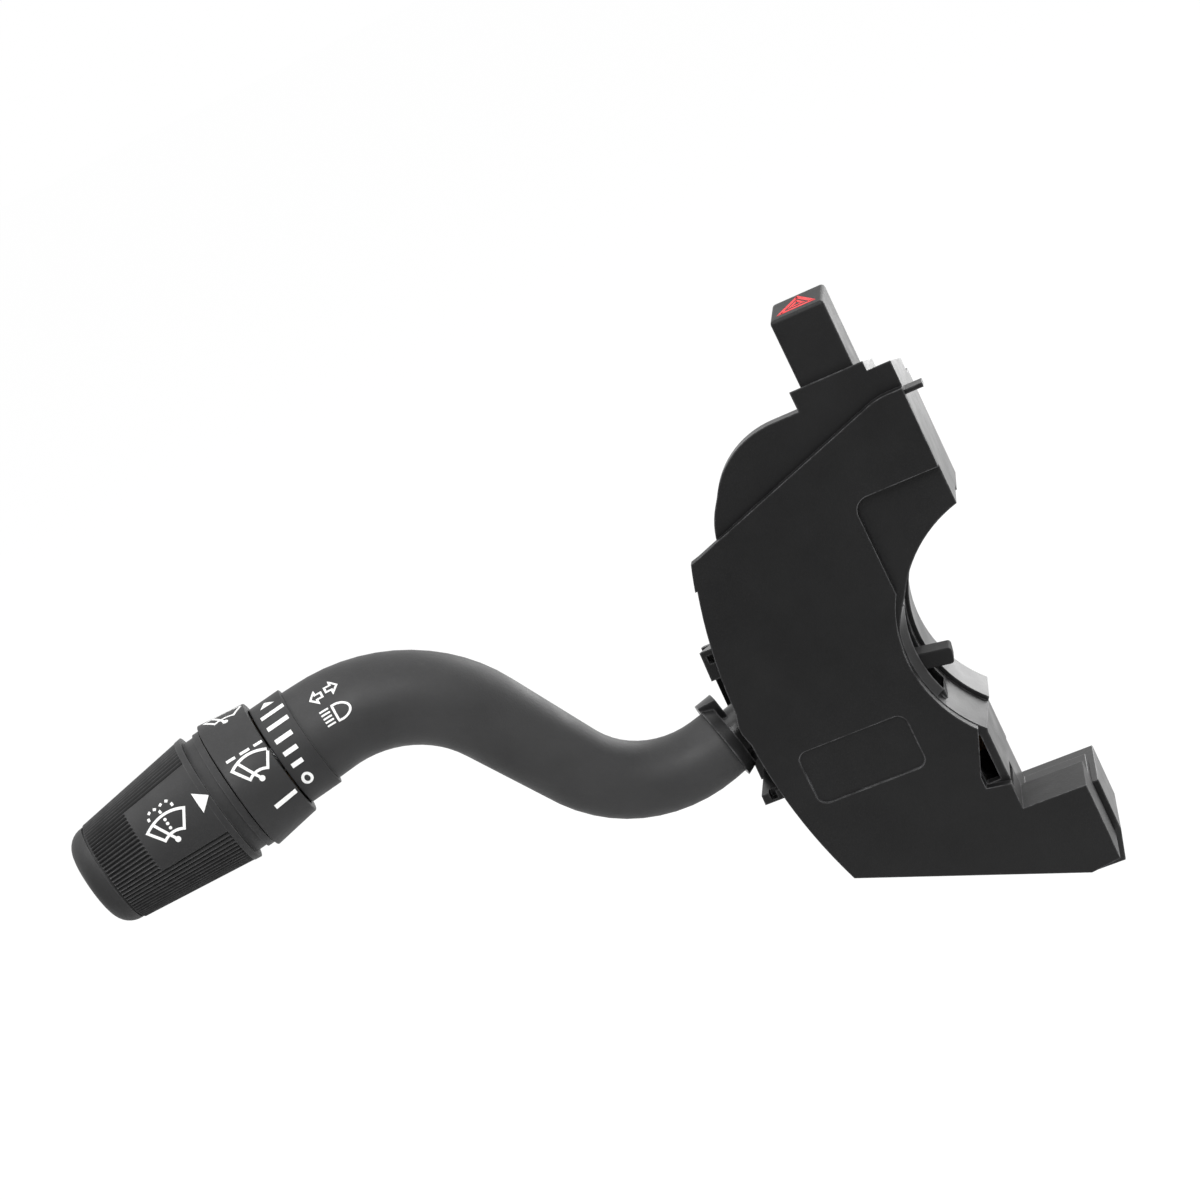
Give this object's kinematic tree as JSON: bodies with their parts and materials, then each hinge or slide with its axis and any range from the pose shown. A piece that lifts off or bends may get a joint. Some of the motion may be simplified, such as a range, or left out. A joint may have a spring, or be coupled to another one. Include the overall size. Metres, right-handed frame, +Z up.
{
  "type": "combination stalk switch",
  "caption": "Steering column combination switch: bent lever with wiper ring, push-to-wash knob, hazard button, cancelling pawl and open column saddle.",
  "frame": {"origin": "steering column axis, on the rear mounting face of the housing", "axes": "+X to the driver's right, -Y towards the driver along the column, +Z up towards the hazard button"},
  "size_m": [0.2092, 0.0815, 0.155],
  "materials": {
    "housing_plastic": "satin moulded black",
    "cover_plastic": "fine grained satin black",
    "stalk_plastic": "soft satin charcoal",
    "knob_plastic": "satin charcoal with white pad prints",
    "button_plastic": "satin black with a red print",
    "natural_plastic": "natural moulded",
    "board": "phenolic laminate",
    "steel": "plated",
    "brass": "bare",
    "loom": "taped"
  },
  "bodies": {
    "housing": {"front_cover": "cover_plastic", "switch_housing": "housing_plastic", "rear_base": "housing_plastic", "connector_shroud": "housing_plastic", "contact_board": "board", "fixed_contacts": "brass", "turn_terminals": "brass", "wiper_terminals": "brass", "case_screws": "steel", "mounting_inserts": "brass", "lever_bezel": "housing_plastic", "turn_pivot_pin": "steel", "detent_track": "natural_plastic", "slider_rails": "natural_plastic", "hazard_spring": "steel", "pawl_pin": "steel", "pawl_spring": "steel"},
    "lever_carrier": {"turn_carrier": "natural_plastic", "flash_pivot_pin": "steel", "flash_spring": "steel", "detent_spring": "steel"},
    "detent": {"detent_plunger": "steel"},
    "turn_slider": {"contact_slider": "natural_plastic", "slider_contacts": "brass"},
    "stalk": {"stalk_root": "stalk_plastic", "stalk_tube": "stalk_plastic", "stalk_loom": "loom", "scale_collar": "knob_plastic", "wiper_contact_disc": "board", "knob_spindle": "steel", "spindle_clip": "steel"},
    "wiper_ring_body": {"wiper_ring": "knob_plastic", "rotor_wipers": "brass", "washer_spring": "steel"},
    "washer_knob_body": {"washer_knob": "knob_plastic", "knob_cap": "knob_plastic"},
    "hazard": {"hazard_button": "button_plastic", "hazard_contact": "brass"},
    "pawl": {"cancel_pawl": "housing_plastic"}
  },
  "joints": [
    {"name": "turn_signal_swing", "type": "hinge", "parent": "housing", "child": "lever_carrier", "pos_m": [-0.053, -0.011, -0.003], "axis": [0, 1, 0], "range_deg": [-10, 10]},
    {"name": "headlamp_flash", "type": "hinge", "parent": "lever_carrier", "child": "stalk", "pos_m": [-0.062, -0.0085, -0.003], "axis": [0, 0, 1], "range_deg": [0, 5], "stiffness_Nm_per_rad": 3},
    {"name": "wiper_ring_turn", "type": "hinge", "parent": "stalk", "child": "wiper_ring_body", "pos_m": [-0.15743, -0.04383, 0.04505], "axis": [-0.9261, -0.3648, -0.0958], "range_deg": [0, 95]},
    {"name": "washer_push", "type": "slide", "parent": "wiper_ring_body", "child": "washer_knob_body", "axis": [0.9261, 0.3648, 0.0958], "range_m": [0, 0.0028], "stiffness_N_per_m": 900},
    {"name": "hazard_push", "type": "slide", "parent": "housing", "child": "hazard", "axis": [0, 0, -1], "range_m": [0, 0.005], "stiffness_N_per_m": 500, "deforming": ["hazard_spring"]},
    {"name": "pawl_swing", "type": "hinge", "parent": "housing", "child": "pawl", "pos_m": [-0.041, -0.0165, -0.0015], "axis": [0, 1, 0], "range_deg": [-8, 8], "stiffness_Nm_per_rad": 0.05},
    {"name": "slider_travel", "type": "slide", "parent": "housing", "child": "turn_slider", "axis": [1, 0, 0], "range_m": [-0.0037, 0.0037]},
    {"name": "detent_press", "type": "slide", "parent": "lever_carrier", "child": "detent", "axis": [-1, 0, 0], "range_m": [0, 0.0006], "stiffness_N_per_m": 1500}
  ],
  "couplings": [
    {"joint": "slider_travel", "follows": "turn_signal_swing", "m_per_rad": -0.02}
  ]
}
